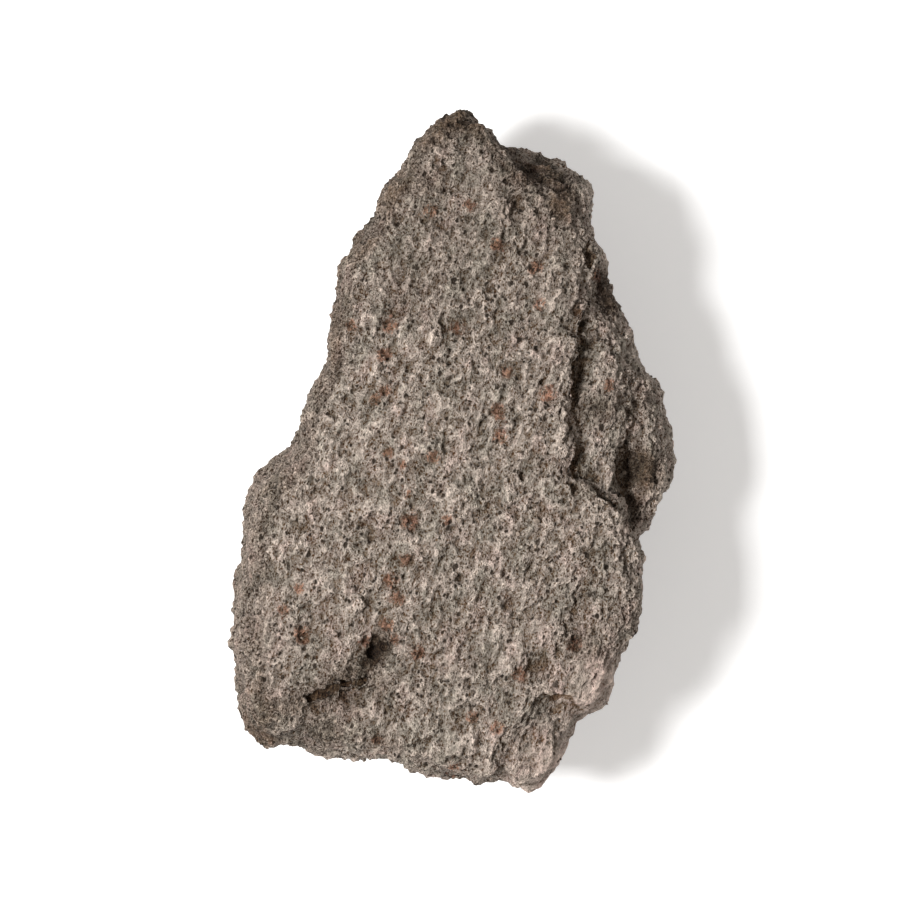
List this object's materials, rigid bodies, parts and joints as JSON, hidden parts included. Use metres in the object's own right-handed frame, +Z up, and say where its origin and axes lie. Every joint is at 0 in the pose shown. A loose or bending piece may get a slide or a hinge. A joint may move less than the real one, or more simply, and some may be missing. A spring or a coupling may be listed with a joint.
{
  "type": "perlite rock",
  "caption": "Rough hand specimen of porous volcanic rock, a thick slab with one broad face, ledges along one side and a blunt tip.",
  "frame": {"origin": "on the surface that the stone rests on, under the middle of its bounding box", "axes": "+Z up, out of the broad face; +Y along the stone's length, to its blunt tip; +X across the broad face, to the side with the ledges"},
  "size_m": [0.0726, 0.1102, 0.0392],
  "materials": {
    "stone": "dull, rough and finely porous, grey-beige with rust-coloured grains"
  },
  "bodies": {
    "root": {"perlite_stone": "stone"}
  },
  "joints": []
}
